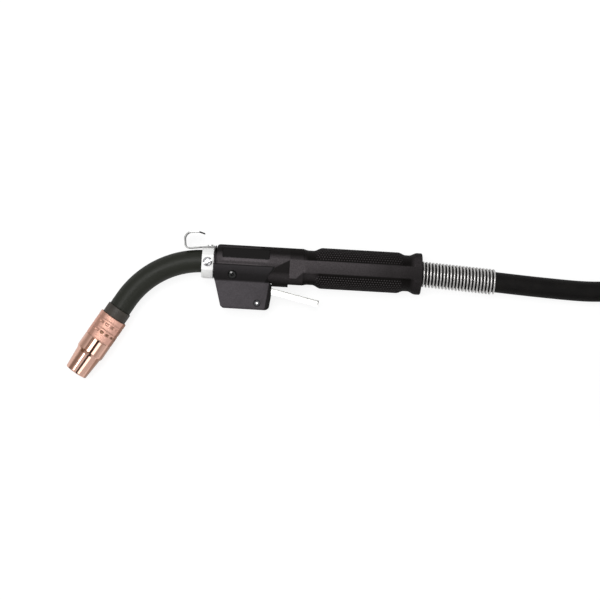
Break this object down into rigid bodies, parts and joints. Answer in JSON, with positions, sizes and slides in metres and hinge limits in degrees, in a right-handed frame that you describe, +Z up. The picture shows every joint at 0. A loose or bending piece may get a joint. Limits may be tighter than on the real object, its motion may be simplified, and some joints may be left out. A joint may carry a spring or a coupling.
{
  "type": "mig welding torch",
  "caption": "Gooseneck welding torch: slip-on nozzle, moulded handle with lever trigger and hanging hook, spring strain relief, coiled power cable and plug.",
  "frame": {"origin": "under the middle of the torch without its cable, on the face it lies on", "axes": "+X back along the handle towards the cable, +Y from the trigger towards the hanging hook, +Z up from the side it lies on"},
  "size_m": [0.8802, 0.2698, 0.0441],
  "materials": {
    "nozzle_copper": "satin copper, crimp dents, band polished",
    "insulator_black": "heat-proof moulding",
    "diffuser_brass": "turned",
    "tip_copper": "turned copper",
    "tube_brass": "drawn",
    "jacket_rubber": "smooth, slightly olive",
    "liner_steel": "wound steel wire",
    "clamp_alloy": "cast, tumbled",
    "clamp_screw_steel": "zinc plated",
    "hook_steel": "plated strip",
    "hook_screw_steel": "zinc plated",
    "handle_plastic": "moulded, sparked grip",
    "label_gloss": "blank domed plate",
    "housing_plastic": "moulded",
    "bolt_black": "black oxide",
    "housing_screw_steel": "zinc plated",
    "housing_nut_steel": "zinc plated",
    "lever_plated": "bright plated sheet",
    "pivot_steel": "ground",
    "switch_plastic": "moulded",
    "plunger_red": "moulded",
    "return_spring_steel": "wound wire",
    "terminal_brass": "stamped",
    "lead_red": "insulated wire",
    "connector_brass": "turned",
    "crimp_copper": "crimped copper tube",
    "strain_spring_steel": "bright wound wire",
    "cable_rubber": "extruded sheath",
    "tie_fabric": "woven strap",
    "boot_rubber": "ribbed moulding",
    "plug_plastic": "moulded",
    "carrier_plastic": "moulded insulator",
    "nut_plastic": "ribbed moulding",
    "spigot_brass": "turned",
    "pin_brass": "turned"
  },
  "bodies": {
    "torch": {"nozzle_insulator": "insulator_black", "gas_diffuser": "diffuser_brass", "contact_tip": "tip_copper", "conductor_tube": "tube_brass", "tube_jacket": "jacket_rubber", "wire_liner": "liner_steel", "neck_clamp": "clamp_alloy", "clamp_screw": "clamp_screw_steel", "hanger_hook": "hook_steel", "hook_screw": "hook_screw_steel", "handle_body": "handle_plastic", "label_plate": "label_gloss", "trigger_housing_left": "housing_plastic", "trigger_housing_right": "housing_plastic", "housing_bolts": "bolt_black", "housing_screw": "housing_screw_steel", "housing_nut": "housing_nut_steel", "pivot_pin": "pivot_steel", "switch_body": "switch_plastic", "return_spring": "return_spring_steel", "switch_terminals": "terminal_brass", "switch_leads": "lead_red", "cable_connector": "connector_brass", "crimp_sleeve": "crimp_copper", "strain_spring": "strain_spring_steel", "power_cable": "cable_rubber", "cable_coil": "cable_rubber", "cable_end": "cable_rubber", "coil_tie": "tie_fabric", "plug_boot": "boot_rubber", "plug_housing": "plug_plastic", "plug_carrier": "carrier_plastic", "plug_spigot": "spigot_brass"},
    "nozzle": {"nozzle": "nozzle_copper"},
    "trigger": {"trigger_lever": "lever_plated"},
    "plunger": {"switch_plunger": "plunger_red"},
    "plug_ring": {"plug_nut": "nut_plastic"},
    "pin_upper": {"plug_pin_upper": "pin_brass"},
    "pin_lower": {"plug_pin_lower": "pin_brass"}
  },
  "joints": [
    {"name": "trigger_pull", "type": "hinge", "parent": "torch", "child": "trigger", "pos_m": [-0.02329, 0.01956, 0.0189], "axis": [0, 0, 1], "range_deg": [0, 8], "stiffness_Nm_per_rad": 0.8, "springref_deg": -8.59, "deforming": ["return_spring"]},
    {"name": "plunger_press", "type": "slide", "parent": "torch", "child": "plunger", "axis": [0, -1, 0], "range_m": [0, 0.0024]},
    {"name": "nozzle_pull", "type": "slide", "parent": "torch", "child": "nozzle", "axis": [-0.5225, -0.8526, 0], "range_m": [0, 0.065]},
    {"name": "nut_spin", "type": "hinge", "parent": "torch", "child": "plug_ring", "pos_m": [0.65091, 0.06056, 0.021], "axis": [1, 0, 0], "continuous": true},
    {"name": "pin_upper_press", "type": "slide", "parent": "torch", "child": "pin_upper", "axis": [-1, 0, 0], "range_m": [0, 0.003], "stiffness_N_per_m": 500, "springref_m": -0.002},
    {"name": "pin_lower_press", "type": "slide", "parent": "torch", "child": "pin_lower", "axis": [-1, 0, 0], "range_m": [0, 0.003], "stiffness_N_per_m": 500, "springref_m": -0.002}
  ],
  "couplings": [
    {"joint": "plunger_press", "follows": "trigger_pull", "m_per_rad": 0.016}
  ]
}
